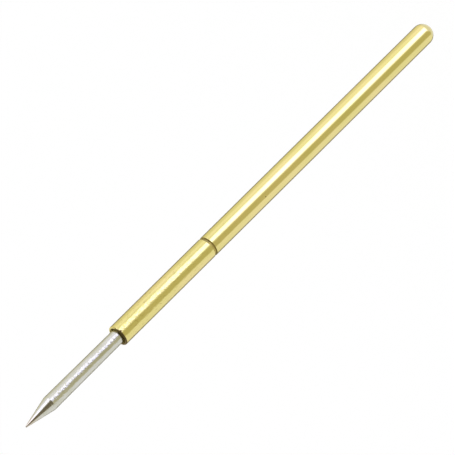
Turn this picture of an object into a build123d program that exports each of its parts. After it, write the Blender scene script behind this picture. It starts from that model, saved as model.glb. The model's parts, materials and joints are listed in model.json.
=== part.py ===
from build123d import *
import os
from math import cos, pi, radians, sin, sqrt, tan

# A spring-loaded contact probe, upright on its round tail.
# Millimetres, with the axis along Z and the origin at the lowest point of the tail.

# Barrel: a drawn tube, closed and round at the tail, open at the mouth
barrel_diameter = 1.02
barrel_wall = 0.10
barrel_length = 21.91

# Crimp: a groove rolled into the barrel's wall, steep towards the tail, and the bulge inside it that
# keeps the plunger in
crimp_from_mouth = 6.04
crimp_width = 0.16
crimp_step = 0.03
crimp_depth = 0.04
bulge_height = 0.05
bulge_round = 0.20

# Plunger, outside the barrel: a conical point on a stem that thins towards the mouth
exposed_length = 5.95
point_angle = 24.0
tip_round = 0.04

# Plunger, inside the barrel: a guide land, a neck for the crimp, a head and a spigot for the spring
land_inset = 0.45
land_break = 0.03
head_length = 2.20
head_break = 0.05
spigot_length = 0.35
spigot_break = 0.08

# Spring: wire coiled in short straight steps, with closed turns at both ends
wire_diameter = 0.11
wire_sides = 6
steps_per_turn = 16
open_turns = 22
closed_turns = 1

# Travel, and the clearances between the pieces
stroke = 4.00
stop_clearance = 0.06
seat_clearance = 0.01
stem_clearance = 0.055
waist_clearance = 0.075
land_clearance = 0.02
neck_clearance = 0.04
spigot_clearance = 0.04
coil_clearance = 0.03
turn_clearance = 0.01

# Barrel, worked out
barrel_radius = barrel_diameter / 2
bore_radius = barrel_radius - barrel_wall
tail_centre_z = barrel_radius
crimp_z = barrel_length - crimp_from_mouth
bulge_radius = bore_radius - bulge_height


def bulge_reach(radius):
    """How far above and below the crimp's middle the bulge comes to a given radius."""
    return sqrt(bulge_round**2 - (bulge_radius + bulge_round - radius) ** 2)


# Plunger, worked out
tip_z = barrel_length + exposed_length
land_radius = bore_radius - land_clearance
stop_reach = bulge_reach(land_radius)
land_top_z = barrel_length - land_inset
land_bottom_z = crimp_z + stop_reach + stroke + stop_clearance
head_top_z = crimp_z - stop_reach - seat_clearance
head_bottom_z = head_top_z - head_length

# Spring, worked out
wire_radius = wire_diameter / 2
coil_radius = bore_radius - coil_clearance - wire_radius
tail_seat_radius = bore_radius - seat_clearance - wire_radius
coil_bottom_z = tail_centre_z - sqrt(tail_seat_radius**2 - coil_radius**2)
coil_top_z = head_bottom_z - seat_clearance - wire_radius
closed_pitch = wire_diameter + turn_clearance
open_height = coil_top_z - coil_bottom_z - 2 * closed_turns * closed_pitch
open_pitch = open_height / open_turns


def turned(outline):
    """The solid that a closed outline of radius and height makes round the Z axis."""
    return revolve(Plane.XZ * make_face(outline), Axis.Z)


def make_barrel():
    """A tube with a round tail, a rolled crimp, and a lip rounded from outside to inside."""
    tail_outside = CenterArc((0, tail_centre_z), barrel_radius, -90, 90)
    tail_inside = CenterArc((0, tail_centre_z), bore_radius, -90, 90)
    lip = CenterArc((bore_radius + barrel_wall / 2, barrel_length - barrel_wall / 2), barrel_wall / 2, 0, 180)
    groove_bottom_z = crimp_z - crimp_width / 2
    groove = Polyline(
        (barrel_radius, groove_bottom_z),
        (barrel_radius - crimp_depth, groove_bottom_z + crimp_step),
        (barrel_radius, groove_bottom_z + crimp_width),
    )
    reach = bulge_reach(bore_radius)
    bulge = ThreePointArc(
        (bore_radius, crimp_z - reach), (bulge_radius, crimp_z), (bore_radius, crimp_z + reach)
    )
    return turned(
        [
            tail_outside,
            Line(tail_outside @ 1, groove @ 0),
            groove,
            Line(groove @ 1, lip @ 0),
            lip,
            Line(lip @ 1, bulge @ 1),
            bulge,
            Line(bulge @ 0, tail_inside @ 1),
            tail_inside,
            Line(tail_inside @ 0, tail_outside @ 0),
        ]
    )


def make_plunger():
    """A turned pin: point, stem, guide land, neck, head and spring spigot."""
    half_angle = point_angle / 2
    nose = CenterArc((0, tip_z - tip_round), tip_round, half_angle, 90 - half_angle)
    cone_top = nose @ 0
    stem_radius = bore_radius - stem_clearance
    stem_top_z = cone_top.Y - (stem_radius - cone_top.X) / tan(radians(half_angle))
    waist_radius = bore_radius - waist_clearance
    neck_radius = bulge_radius - neck_clearance
    neck_step = land_radius - neck_radius
    spigot_radius = coil_radius - wire_radius - spigot_clearance
    spigot_bottom_z = head_bottom_z - spigot_length
    body = Polyline(
        cone_top,
        (stem_radius, stem_top_z),
        (waist_radius, land_top_z),
        (land_radius, land_top_z - land_break),
        (land_radius, land_bottom_z),
        (neck_radius, land_bottom_z - neck_step),
        (neck_radius, head_top_z + neck_step),
        (land_radius, head_top_z),
        (land_radius, head_bottom_z + head_break),
        (land_radius - head_break, head_bottom_z),
        (spigot_radius, head_bottom_z),
        (spigot_radius, spigot_bottom_z + spigot_break),
        (spigot_radius - spigot_break, spigot_bottom_z),
        (0, spigot_bottom_z),
    )
    return turned([nose, body, Line(body @ 1, nose @ 1)])


def coil_point(turn):
    """The middle of the wire after a number of turns from the tail."""
    opened = min(max(turn - closed_turns, 0), open_turns)
    height = closed_pitch * (turn - opened) + open_pitch * opened
    angle = 2 * pi * turn
    return (coil_radius * cos(angle), coil_radius * sin(angle), coil_bottom_z + height)


def make_spring():
    """One wire from the barrel's tail up to the plunger's head."""
    steps = round((open_turns + 2 * closed_turns) * steps_per_turn)
    route = Polyline([coil_point(step / steps_per_turn) for step in range(steps + 1)])
    section = Plane(origin=route @ 0, z_dir=route % 0) * RegularPolygon(wire_radius, wire_sides)
    return sweep(section, path=route, transition=Transition.RIGHT)


os.makedirs("parts", exist_ok=True)
export_step(make_barrel(), "parts/barrel.step")
export_step(make_plunger(), "parts/plunger.step")
export_step(make_spring(), "parts/spring.step")
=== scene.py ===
import json
from math import acos, cos, degrees, pi, radians, sin, sqrt, tan

import bpy
from mathutils import Matrix, Vector


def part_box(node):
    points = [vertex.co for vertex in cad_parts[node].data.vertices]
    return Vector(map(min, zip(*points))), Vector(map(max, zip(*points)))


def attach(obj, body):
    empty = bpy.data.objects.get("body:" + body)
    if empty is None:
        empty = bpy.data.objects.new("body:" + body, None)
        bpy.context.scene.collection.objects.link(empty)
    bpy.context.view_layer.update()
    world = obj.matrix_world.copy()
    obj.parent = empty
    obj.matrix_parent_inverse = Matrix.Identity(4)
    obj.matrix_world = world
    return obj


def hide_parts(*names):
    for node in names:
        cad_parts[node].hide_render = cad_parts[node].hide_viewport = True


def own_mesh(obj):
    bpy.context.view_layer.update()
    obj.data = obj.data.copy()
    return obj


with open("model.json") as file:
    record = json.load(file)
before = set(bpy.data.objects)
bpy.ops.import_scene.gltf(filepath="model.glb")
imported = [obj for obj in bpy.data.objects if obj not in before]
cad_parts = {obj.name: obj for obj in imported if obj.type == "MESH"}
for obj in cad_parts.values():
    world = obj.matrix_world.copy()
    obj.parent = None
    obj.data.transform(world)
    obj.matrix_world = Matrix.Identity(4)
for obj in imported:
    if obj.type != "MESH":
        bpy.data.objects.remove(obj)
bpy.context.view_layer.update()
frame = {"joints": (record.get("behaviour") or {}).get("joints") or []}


# Barrel
# A thin brass tube, drawn with one closed round end and plated with gold. Its mouth is rounded over,
# and a groove is rolled into its wall, which bulges inwards and keeps the plunger in.
MM = 0.001

# A turned piece is drawn out ring by ring. Its ends stop just short of the axis, where a tiny disc
# closes them. A holding ring near each end of a long stretch keeps its shading even, and points
# nearer than the seam gap are merged
RING_SIDES = 160
POLE_RADIUS = 0.004 * MM
POLE_ANGLE = 88
HOLDING_GAP = 0.01 * MM
SEAM_GAP = 0.001 * MM
turning = {}


def begin_turning(name, height):
    """Starts a turned piece as one tiny disc on the axis, ready to be drawn out ring by ring."""
    bpy.ops.object.select_all(action="DESELECT")
    bpy.ops.mesh.primitive_circle_add(
        vertices=RING_SIDES, radius=POLE_RADIUS, fill_type="TRIFAN", location=(0, 0, height)
    )
    bpy.context.object.name = name
    bpy.ops.object.transform_apply(location=True)
    bpy.ops.object.mode_set(mode="EDIT")
    turning["radius"] = POLE_RADIUS
    turning["height"] = height


def draw_to(radius, height):
    """Extrudes the last ring to a new radius and height, and never quite onto the axis."""
    radius = max(radius, POLE_RADIUS)
    rise = height - turning["height"]
    growth = radius / turning["radius"]
    bpy.ops.mesh.extrude_region_move(TRANSFORM_OT_translate={"value": (0, 0, rise)})
    bpy.ops.transform.resize(value=(growth, growth, 1))
    turning["radius"] = radius
    turning["height"] = height


def draw_straight(radius, height):
    """Draws a long stretch with a holding ring at each end, so that its shading stays even."""
    share = HOLDING_GAP / abs(height - turning["height"])
    start = Vector((turning["radius"], turning["height"]))
    end = Vector((radius, height))
    for step in (share, 1 - share, 1):
        ring = start.lerp(end, step)
        draw_to(ring.x, ring.y)


def draw_arc(centre_radius, centre_height, arc_radius, start, end, steps):
    """Draws a round stretch, by angles in degrees from straight outwards."""
    for step in range(1, steps + 1):
        angle = radians(start + (end - start) * step / steps)
        draw_to(centre_radius + arc_radius * cos(angle), centre_height + arc_radius * sin(angle))


def end_turning(smooth_angle):
    """Closes the seams, turns the faces outwards and smooths all but the sharp edges."""
    bpy.ops.mesh.select_all(action="SELECT")
    bpy.ops.mesh.remove_doubles(threshold=SEAM_GAP)
    bpy.ops.mesh.normals_make_consistent(inside=False)
    bpy.ops.object.mode_set(mode="OBJECT")
    bpy.ops.object.shade_smooth_by_angle(angle=radians(smooth_angle))
    return bpy.context.object


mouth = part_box("barrel")[1]
barrel_radius = mouth.x
barrel_wall = 0.10 * MM
bore_radius = barrel_radius - barrel_wall
lip_round = barrel_wall / 2
lip_height = mouth.z - lip_round
crimp_from_mouth = 6.04 * MM
crimp_height = mouth.z - crimp_from_mouth
groove_depth = 0.04 * MM
groove_width = 0.16 * MM
groove_step = 0.03 * MM
groove_ease = 0.006 * MM
groove_start = crimp_height - groove_width / 2
groove_floor = barrel_radius - groove_depth
bulge_height = 0.05 * MM
bulge_round = 0.20 * MM
bulge_radius = bore_radius - bulge_height
bulge_centre = bulge_radius + bulge_round
bulge_sweep = degrees(acos((bulge_centre - bore_radius) / bulge_round))


def bulge_reach(radius):
    """How far above and below the crimp's middle the bulge comes to a given radius."""
    return sqrt(bulge_round**2 - (bulge_centre - radius) ** 2)


begin_turning("barrel_shell", 0)
draw_arc(0, barrel_radius, barrel_radius, -POLE_ANGLE, 0, steps=24)
draw_straight(barrel_radius, groove_start - groove_ease)
draw_to(barrel_radius - 0.2 * groove_ease, groove_start)
draw_to(barrel_radius - groove_ease, groove_start + groove_ease)
draw_to(groove_floor + groove_ease, groove_start + groove_step - groove_ease)
draw_to(groove_floor, groove_start + groove_step)
draw_to(groove_floor + 0.5 * groove_ease, groove_start + groove_step + 2 * groove_ease)
draw_to(barrel_radius - groove_ease, groove_start + groove_width - 3 * groove_ease)
draw_to(barrel_radius, groove_start + groove_width)
draw_straight(barrel_radius, lip_height)
draw_arc(bore_radius + lip_round, lip_height, lip_round, 0, 180, steps=16)
draw_straight(bore_radius, crimp_height + bulge_reach(bore_radius))
draw_arc(bulge_centre, crimp_height, bulge_round, 180 - bulge_sweep, 180 + bulge_sweep, steps=12)
draw_straight(bore_radius, barrel_radius)
draw_arc(0, barrel_radius, bore_radius, 0, -POLE_ANGLE, steps=18)
barrel = end_turning(smooth_angle=40)


def add_node(tree, kind, inputs, **options):
    """Adds a node with its options, and sets each input to a value or links it to another node."""
    node = tree.nodes.new("ShaderNode" + kind)
    for option, choice in options.items():
        setattr(node, option, choice)
    for socket, value in inputs.items():
        if isinstance(value, bpy.types.NodeSocket):
            tree.links.new(value, node.inputs[socket])
        else:
            node.inputs[socket].default_value = value
    return node


def fade(tree, value, start, end, low=0.0, high=1.0):
    """Low before start, high after end, and a smooth change between them."""
    limits = {"Value": value, "From Min": start, "From Max": end, "To Min": low, "To Max": high}
    return add_node(tree, "MapRange", limits, interpolation_type="SMOOTHSTEP").outputs["Result"]


def calculate(tree, operation, first, second=0.0):
    """One step of arithmetic."""
    return add_node(tree, "Math", {0: first, 1: second}, operation=operation).outputs["Value"]


def blend(tree, share, first, second):
    """Mixes a second colour into the first."""
    return add_node(tree, "Mix", {0: share, 6: first, 7: second}, data_type="RGBA").outputs[2]


def grain(tree, place, size, detail=2.0):
    """Noise whose lumps have a given size along each axis."""
    fine = add_node(tree, "Mapping", {"Vector": place, "Scale": [1 / length for length in size]})
    noise = add_node(tree, "TexNoise", {"Vector": fine.outputs[0], "Scale": 1.0, "Detail": detail})
    return noise.outputs["Fac"]


def spot(tree, place, centre, size, turn=(0, 0, 0)):
    """An oval spot on the surface: 1 inside, 0 outside."""
    oval = add_node(
        tree, "Mapping", {"Vector": place, "Location": centre, "Rotation": turn, "Scale": size},
        vector_type="TEXTURE",
    )
    away = add_node(tree, "VectorMath", {0: oval.outputs[0]}, operation="LENGTH").outputs["Value"]
    return fade(tree, away, 1.0, 0.5)


def on_barrel(bearing, height):
    """A point on the barrel's side, by its bearing in degrees round from the camera's side."""
    side = radians(bearing)
    return (barrel_radius * sin(side), -barrel_radius * cos(side), height)


PALE_GOLD = (0.86, 0.73, 0.29, 1)
DEEP_GOLD = (0.81, 0.71, 0.25, 1)
SPECK = (0.46, 0.34, 0.12, 1)
# Painted shade for the crimp groove: a darker gold for the whole groove, and a brown for its sides
CRIMP_SHADE_GOLD = (0.64, 0.52, 0.15, 1)
CRIMP_SIDE_SHADE = (0.38, 0.31, 0.10, 1)
# Painted shade for the mouth's lip
LIP_SHADE = (0.28, 0.21, 0.09, 1)
NICK_SHADE = (0.16, 0.11, 0.04, 1)
PIT_SHADE = (0.22, 0.16, 0.06, 1)
MARK_SHADE = (0.5, 0.4, 0.14, 1)
SCRATCH_SHADE = (0.55, 0.42, 0.16, 1)
CLOUD_SIZE = (0.9 * MM, 0.9 * MM, 2.2 * MM)
SPECK_SIZE = (0.07 * MM, 0.07 * MM, 0.18 * MM)
DRAWING_MARK_SIZE = (0.09 * MM, 0.09 * MM, 0.22 * MM)
DRAWING_MARK_DEPTH = 0.0065 * MM
UNTOUCHED_HEIGHT = 12 * MM
HANDLED_HEIGHT = 20 * MM
POLISHED_ROUGHNESS = 0.12
SCUFFED_ROUGHNESS = 0.5
BORE_METALLIC = 0.3
gold = bpy.data.materials.new("gold_plated_brass")
gold.use_nodes = True
tree = gold.node_tree
shader = tree.nodes["Principled BSDF"]
place = add_node(tree, "TexCoord", {}).outputs["Object"]
position = add_node(tree, "SeparateXYZ", {0: place})
height = position.outputs["Z"]
across = position.outputs["X"]

clouds = grain(tree, place, CLOUD_SIZE)
plating = blend(tree, fade(tree, clouds, 0.4, 0.65), DEEP_GOLD, PALE_GOLD)
handled = fade(tree, height, UNTOUCHED_HEIGHT, HANDLED_HEIGHT, 0.1, 1.0)
specks_grain = grain(tree, place, SPECK_SIZE, detail=3.0)
specks = fade(tree, specks_grain, 0.58, 0.64)
specks = calculate(tree, "MULTIPLY", specks, calculate(tree, "MULTIPLY", handled, 0.3))
plating = blend(tree, specks, plating, SPECK)

# Painted shade in the crimp groove: the whole groove is coloured darker gold. Its sides are a mottled
# darker brown, from just past the middle on one side and only near the edge on the other
from_crimp = calculate(tree, "ABSOLUTE", calculate(tree, "SUBTRACT", height, crimp_height))
crimped = fade(tree, from_crimp, 0.095 * MM, 0.07 * MM)
side_shade_right = fade(tree, across, 0.02 * MM, 0.16 * MM)
side_shade_left = fade(tree, across, -0.38 * MM, -0.44 * MM)
crimp_side_shade = calculate(tree, "MAXIMUM", side_shade_right, side_shade_left)
crimp_side_shade = calculate(tree, "MULTIPLY", crimp_side_shade, fade(tree, specks_grain, 0.35, 0.55, 0.35, 1.0))
painted_crimp_shade = blend(tree, crimp_side_shade, CRIMP_SHADE_GOLD, CRIMP_SIDE_SHADE)
plating = blend(tree, crimped, plating, painted_crimp_shade)

# Painted shade on the mouth's lip: it is coloured brown all round except on one side, which keeps the
# gold. The same stretch is also made rougher
lip = fade(tree, height, lip_height - 0.02 * MM, lip_height + 0.01 * MM)
lip_shade_mask = calculate(tree, "MULTIPLY", lip, fade(tree, across, 0.30 * MM, 0.10 * MM))
plating = blend(tree, lip_shade_mask, plating, LIP_SHADE)

nick = spot(tree, place, on_barrel(8, lip_height - 0.02 * MM), size=(0.06 * MM, 0.06 * MM, 0.06 * MM))
plating = blend(tree, nick, plating, NICK_SHADE)
pit = spot(tree, place, on_barrel(-25.5, 12.31 * MM), size=(0.035 * MM, 0.035 * MM, 0.04 * MM))
plating = blend(tree, pit, plating, PIT_SHADE)
edge_mark = spot(tree, place, on_barrel(64, 19.66 * MM), size=(0.05 * MM, 0.05 * MM, 0.04 * MM))
plating = blend(tree, edge_mark, plating, MARK_SHADE)
scratch_bearing = -36
scratch = spot(
    tree, place, on_barrel(scratch_bearing, 19.56 * MM), size=(0.02 * MM, 0.3 * MM, 0.14 * MM),
    turn=(0, radians(35), radians(scratch_bearing)),
)
plating = blend(tree, calculate(tree, "MULTIPLY", scratch, 0.6), plating, SCRATCH_SHADE)
tree.links.new(plating, shader.inputs["Base Color"])

crimp_and_lip = calculate(tree, "MAXIMUM", crimped, lip_shade_mask)
roughness = fade(tree, crimp_and_lip, 0.0, 1.0, POLISHED_ROUGHNESS, SCUFFED_ROUGHNESS)
tree.links.new(roughness, shader.inputs["Roughness"])

drawing_marks = grain(tree, place, DRAWING_MARK_SIZE, detail=4.0)
relief = add_node(
    tree, "Bump", {"Strength": handled, "Distance": DRAWING_MARK_DEPTH, "Height": drawing_marks}
)
tree.links.new(relief.outputs["Normal"], shader.inputs["Normal"])
around = add_node(tree, "VectorMath", {0: place, 1: (1, 1, 0)}, operation="MULTIPLY").outputs[0]
radius = add_node(tree, "VectorMath", {0: around}, operation="LENGTH").outputs["Value"]
in_bore = fade(tree, radius, bore_radius + 0.02 * MM, bore_radius + 0.004 * MM)
tree.links.new(fade(tree, in_bore, 0.0, 1.0, 1.0, BORE_METALLIC), shader.inputs["Metallic"])
barrel.data.materials.append(gold)
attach(barrel, "barrel")
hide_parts("barrel")


# Spring
# One length of round spring wire, coiled with the first and last turns closed. It sits in the
# barrel's round end and pushes on the plunger's head.
spring_low, spring_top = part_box("spring")
wire_radius = 0.055 * MM
coil_radius = spring_top.x - wire_radius
WIRE_SIDES = 12
TURN_STEPS = 32
open_turns = 22
closed_pitch = 0.12 * MM
coil_start = spring_low.z + wire_radius
open_pitch = (spring_top.z - wire_radius - coil_start - 2 * closed_pitch) / open_turns


def coil(turns, pitch, height):
    """Winds wire round the axis, upwards from a height."""
    bpy.ops.object.select_all(action="DESELECT")
    bpy.ops.mesh.primitive_circle_add(
        vertices=WIRE_SIDES, radius=wire_radius, location=(coil_radius, 0, height),
        rotation=(pi / 2, 0, 0),
    )
    bpy.ops.object.transform_apply(location=True, rotation=True)
    winding = bpy.context.object.modifiers.new("winding", "SCREW")
    winding.screw_offset = pitch
    winding.iterations = turns
    winding.steps = TURN_STEPS
    winding.render_steps = TURN_STEPS
    bpy.ops.object.modifier_apply(modifier=winding.name)
    return bpy.context.object


open_start = coil_start + closed_pitch
stretches = [
    coil(1, closed_pitch, coil_start),
    coil(open_turns, open_pitch, open_start),
    coil(1, closed_pitch, open_start + open_turns * open_pitch),
]
for stretch in stretches:
    stretch.select_set(True)
bpy.ops.object.join()
spring = bpy.context.object
spring.name = "spring_coil"
bpy.ops.object.mode_set(mode="EDIT")
bpy.ops.mesh.select_all(action="SELECT")
bpy.ops.mesh.remove_doubles(threshold=SEAM_GAP)
bpy.ops.mesh.fill_holes(sides=WIRE_SIDES)
bpy.ops.mesh.select_all(action="SELECT")
bpy.ops.mesh.normals_make_consistent(inside=False)
bpy.ops.object.mode_set(mode="OBJECT")
bpy.ops.object.shade_smooth_by_angle(angle=radians(40))

BLUED_STEEL = (0.58, 0.58, 0.60, 1)
BRIGHT_STEEL = (0.68, 0.67, 0.66, 1)
BLUING_SIZE = (0.3 * MM, 0.3 * MM, 0.6 * MM)
DIE_MARK_SIZE = (0.2 * MM, 0.2 * MM, 0.015 * MM)
DIE_MARK_DEPTH = 0.001 * MM
SMOOTH_WIRE = 0.22
MARKED_WIRE = 0.34
wire = bpy.data.materials.new("spring_wire")
wire.use_nodes = True
tree = wire.node_tree
shader = tree.nodes["Principled BSDF"]
place = add_node(tree, "TexCoord", {}).outputs["Object"]
bluing = grain(tree, place, BLUING_SIZE)
steel = blend(tree, bluing, BLUED_STEEL, BRIGHT_STEEL)
tree.links.new(steel, shader.inputs["Base Color"])
die_marks = grain(tree, place, DIE_MARK_SIZE)
relief = add_node(tree, "Bump", {"Distance": DIE_MARK_DEPTH, "Height": die_marks})
tree.links.new(relief.outputs["Normal"], shader.inputs["Normal"])
roughness = fade(tree, die_marks, 0.3, 0.7, SMOOTH_WIRE, MARKED_WIRE)
tree.links.new(roughness, shader.inputs["Roughness"])
shader.inputs["Metallic"].default_value = 1
spring.data.materials.append(wire)
stroke = frame["joints"][0]["range_m"][1]
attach(spring, "barrel")
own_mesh(spring)
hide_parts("spring")


# Plunger
# One pin turned from rod and plated with nickel: a long point, a stem that thins towards the mouth,
# and inside the barrel a guide land, a neck for the crimp, and a head with a spigot that centres
# the spring.
spigot_end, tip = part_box("plunger")
land_radius = tip.x
cone_half_angle = 12
tip_round = 0.04 * MM
stem_clearance = 0.055 * MM
waist_clearance = 0.075 * MM
neck_clearance = 0.04 * MM
stop_clearance = 0.06 * MM
seat_clearance = 0.01 * MM
spigot_clearance = 0.04 * MM
land_inset = 0.45 * MM
land_break = 0.03 * MM
head_length = 2.20 * MM
head_break = 0.05 * MM
spigot_break = 0.08 * MM
stem_radius = bore_radius - stem_clearance
waist_radius = bore_radius - waist_clearance
neck_radius = bulge_radius - neck_clearance
neck_step = land_radius - neck_radius
land_top = mouth.z - land_inset
land_bottom = crimp_height + bulge_reach(land_radius) + stroke + stop_clearance
head_top = crimp_height - bulge_reach(land_radius) - seat_clearance
head_bottom = head_top - head_length
spigot_radius = coil_radius - wire_radius - spigot_clearance
nose_height = tip.z - tip_round
cone_radius = tip_round * cos(radians(cone_half_angle))
cone_end = nose_height + tip_round * sin(radians(cone_half_angle))
stem_top = cone_end - (stem_radius - cone_radius) / tan(radians(cone_half_angle))

begin_turning("plunger_pin", spigot_end.z)
draw_to(spigot_radius - spigot_break, spigot_end.z)
draw_to(spigot_radius, spigot_end.z + spigot_break)
draw_to(spigot_radius, head_bottom)
draw_to(land_radius - head_break, head_bottom)
draw_to(land_radius, head_bottom + head_break)
draw_straight(land_radius, head_top)
draw_to(neck_radius, head_top + neck_step)
draw_straight(neck_radius, land_bottom - neck_step)
draw_to(land_radius, land_bottom)
draw_straight(land_radius, land_top - land_break)
draw_to(waist_radius, land_top)
draw_straight(stem_radius, stem_top)
draw_straight(cone_radius, cone_end)
draw_arc(0, nose_height, tip_round, cone_half_angle, POLE_ANGLE, steps=8)
plunger = end_turning(smooth_angle=10)

DULL_NICKEL = (0.62, 0.61, 0.48, 1)
BRIGHT_NICKEL = (0.67, 0.66, 0.56, 1)
WORN_POINT = (0.64, 0.57, 0.43, 1)
PATCH_SIZE = (0.3 * MM, 0.3 * MM, 0.6 * MM)
PEBBLE_SIZE = (0.07 * MM, 0.07 * MM, 0.13 * MM)
TURNING_MARK_SIZE = (1.0 * MM, 1.0 * MM, 0.05 * MM)
NICKEL_RELIEF = 0.012 * MM
STEM_ROUGHNESS = 0.16
CONE_ROUGHNESS = 0.15
nickel = bpy.data.materials.new("nickel_plated_metal")
nickel.use_nodes = True
tree = nickel.node_tree
shader = tree.nodes["Principled BSDF"]
place = add_node(tree, "TexCoord", {}).outputs["Object"]
height = add_node(tree, "SeparateXYZ", {0: place}).outputs["Z"]
on_cone = fade(tree, height, stem_top - 0.02 * MM, stem_top + 0.02 * MM)

patches = grain(tree, place, PATCH_SIZE)
plating = blend(tree, fade(tree, patches, 0.4, 0.65), DULL_NICKEL, BRIGHT_NICKEL)
worn = fade(tree, height, tip.z - 1.0 * MM, tip.z - 0.1 * MM)
plating = blend(tree, worn, plating, WORN_POINT)
tree.links.new(plating, shader.inputs["Base Color"])

pebbles = grain(tree, place, PEBBLE_SIZE, detail=4.0)
turning_marks = calculate(tree, "MULTIPLY", grain(tree, place, TURNING_MARK_SIZE), 0.5)
surface = add_node(tree, "Mix", {0: on_cone, 2: pebbles, 3: turning_marks}).outputs[0]
relief = add_node(tree, "Bump", {"Distance": NICKEL_RELIEF, "Height": surface})
tree.links.new(relief.outputs["Normal"], shader.inputs["Normal"])
roughness = fade(tree, on_cone, 0.0, 1.0, STEM_ROUGHNESS, CONE_ROUGHNESS)
tree.links.new(roughness, shader.inputs["Roughness"])
shader.inputs["Metallic"].default_value = 1
plunger.data.materials.append(nickel)
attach(plunger, "plunger")
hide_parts("plunger")


# Floor
# A white sheet well below the probe, which is held clear of it. The bright metal mirrors the tent
# instead.
FLOOR_DEPTH = 12 * MM
FLOOR_SIZE = 2
bpy.ops.object.select_all(action="DESELECT")
bpy.ops.mesh.primitive_plane_add(size=FLOOR_SIZE, location=(0, 0, -FLOOR_DEPTH))
floor = bpy.context.object
floor.name = "floor"
bpy.ops.object.transform_apply(location=True)
floor.visible_glossy = False
paper = bpy.data.materials.new("floor_paper")
paper.use_nodes = True
shader = paper.node_tree.nodes["Principled BSDF"]
shader.inputs["Base Color"].default_value = (1, 1, 1, 1)
shader.inputs["Roughness"].default_value = 1
shader.inputs["Specular IOR Level"].default_value = 0
floor.data.materials.append(paper)


# Light
# A white tent all round. Metal mirrors its wall, its strip lamps, and the darker gaps where it is
# open. Everything else is lit as if the tent were plain white.
tent = bpy.data.worlds.new("tent")
bpy.context.scene.world = tent
tent.use_nodes = True
tree = tent.node_tree
looking = add_node(tree, "TexCoord", {}).outputs["Generated"]


def hang(
    wall, colour, bearing, width, low=-120, high=120,
    fade_width=8, fade_low=6, fade_high=6, slant=0, flare=0,
):
    """Hangs a card or lamp in front of the wall, with soft edges.

    Its bearing is in degrees round from the camera's side, and low and high are in degrees from the
    horizon. A slant leans it over. A flare narrows it upwards from its middle and widens it
    downwards, by that share of its width for each radian.
    """
    turned = add_node(
        tree, "VectorRotate", {"Vector": looking, "Angle": radians(-bearing)}, rotation_type="Z_AXIS"
    )
    leaning = add_node(
        tree, "VectorRotate", {"Vector": turned.outputs[0], "Angle": radians(slant)},
        rotation_type="Y_AXIS",
    )
    split = add_node(tree, "SeparateXYZ", {0: leaning.outputs[0]})
    toward = calculate(tree, "MULTIPLY", split.outputs["Y"], -1.0)
    sideways = calculate(tree, "ABSOLUTE", calculate(tree, "ARCTAN2", split.outputs["X"], toward))
    elevation = calculate(tree, "ARCSINE", split.outputs["Z"])
    middle = radians(low + high) / 2
    narrowing = calculate(tree, "MULTIPLY", elevation, flare)
    widening = calculate(tree, "SUBTRACT", 1 + flare * middle, narrowing)
    sideways = calculate(tree, "DIVIDE", sideways, widening)
    edges = [radians(width / 2 + fade_width / 2), radians(width / 2 - fade_width / 2)]
    inside = fade(tree, sideways, *edges)
    above = fade(tree, elevation, radians(low - fade_low / 2), radians(low + fade_low / 2))
    below = fade(tree, elevation, radians(high + fade_high / 2), radians(high - fade_high / 2))
    share = calculate(tree, "MULTIPLY", inside, calculate(tree, "MULTIPLY", above, below))
    return blend(tree, share, wall, (*colour, 1))


TENT_WALL = (0.94, 0.95, 1.02)
TENT_BOTTOM = (0.84, 0.88, 1.10)
WHITE_CARD = (1.12, 1.11, 1.16)
CREAM_CARD = (0.86, 0.83, 0.68)
GREY_CARD = (0.66, 0.64, 0.56)
DARK_CARD = (0.28, 0.26, 0.22)
OPEN_TOP = (0.13, 0.10, 0.045)
SHALLOW_GAP = (0.60, 0.57, 0.41)
DEEP_GAP = (0.20, 0.17, 0.12)
BRIGHT_PANEL = (1.10, 1.10, 1.26)
PANEL_GAP = (0.86, 0.86, 0.88)
CONE_LAMP = (2.1, 2.1, 3.0)
STEM_LAMP = (1.3, 1.3, 1.15)
BARREL_LAMP = (2.1, 2.1, 3.4)
wall = add_node(tree, "RGB", {}).outputs[0]
wall.default_value = (*TENT_WALL, 1)

# Cards all round, and the tent's pale bottom
wall = hang(wall, WHITE_CARD, bearing=62, width=50, fade_width=20)
wall = hang(wall, CREAM_CARD, bearing=137, width=70, fade_width=50)
wall = hang(wall, GREY_CARD, bearing=-152, width=40, fade_width=30)
wall = hang(wall, DARK_CARD, bearing=180, width=90, low=-45, high=-14, fade_width=30)
wall = hang(wall, TENT_BOTTOM, bearing=0, width=400, high=-48, fade_high=10)

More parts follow.
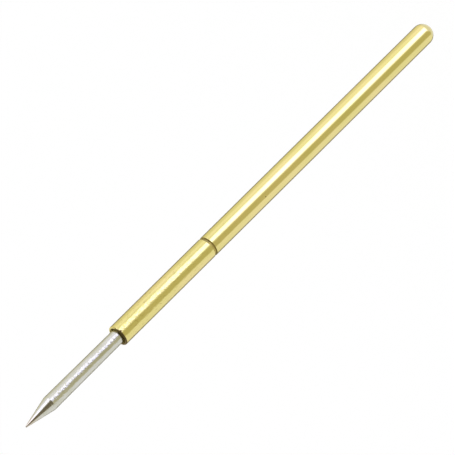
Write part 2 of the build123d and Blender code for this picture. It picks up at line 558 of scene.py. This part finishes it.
# The open top, lower on the camera's side, and the leaning gap below it, darker higher up
wall = hang(wall, OPEN_TOP, bearing=-25, width=250, low=7, fade_width=20, fade_low=12)
wall = hang(wall, OPEN_TOP, bearing=0, width=400, low=48, fade_low=12)
wall = hang(wall, SHALLOW_GAP, bearing=-18, width=49, low=-70, fade_width=10, slant=-25)
wall = hang(wall, DEEP_GAP, bearing=-13, width=60, low=-12, fade_low=8, slant=-25)

# A bright panel with a thin gap in it, then a lamp for each part of the probe to mirror
wall = hang(wall, BRIGHT_PANEL, bearing=62, width=56, low=-60, high=20, fade_width=16, slant=-40)
wall = hang(wall, PANEL_GAP, bearing=54.5, width=8, low=-26.5, high=-12, fade_width=8, fade_low=3)
wall = hang(wall, CONE_LAMP, bearing=50.5, width=26, low=-15, high=20, fade_width=6, slant=-40)
wall = hang(wall, STEM_LAMP, bearing=35, width=16, low=-50, high=-12, fade_width=10)
wall = hang(
    wall, BARREL_LAMP, bearing=23.8, width=43, low=-45, high=-23.5,
    fade_width=12, fade_low=22, fade_high=0.8, flare=1.2,
)

mirrored = add_node(tree, "LightPath", {}).outputs["Is Glossy Ray"]
tree.links.new(blend(tree, mirrored, (1, 1, 1, 1), wall), tree.nodes["Background"].inputs["Color"])


# Camera
# The photograph's angle: the axis leans 26 degrees out of the picture, the point nearest, bottom left.
TILT = radians(26.25)
ROLL = radians(-134.68)
DISTANCE = 149.96 * MM
AIM = Vector((0.006 * MM, 0, 14.489 * MM))
SENSOR_WIDTH = 36
FOCAL_PIXELS = 3409.3
PHOTO_PIXELS = 455
NEAREST = 1 * MM
FARTHEST = 10
camera_data = bpy.data.cameras.new("camera")
camera = bpy.data.objects.new("camera", camera_data)
bpy.context.scene.collection.objects.link(camera)
back = Vector((0, -cos(TILT), sin(TILT)))
upright = back.to_track_quat("Z", "Y").to_matrix()
camera.matrix_world = (
    Matrix.Translation(AIM + back * DISTANCE)
    @ (upright @ Matrix.Rotation(ROLL, 3, "Z")).to_4x4()
)
camera_data.sensor_width = SENSOR_WIDTH
camera_data.lens = SENSOR_WIDTH * (FOCAL_PIXELS / PHOTO_PIXELS)
camera_data.clip_start = NEAREST
camera_data.clip_end = FARTHEST
bpy.context.scene.camera = camera
bpy.context.scene.view_settings.view_transform = "Standard"
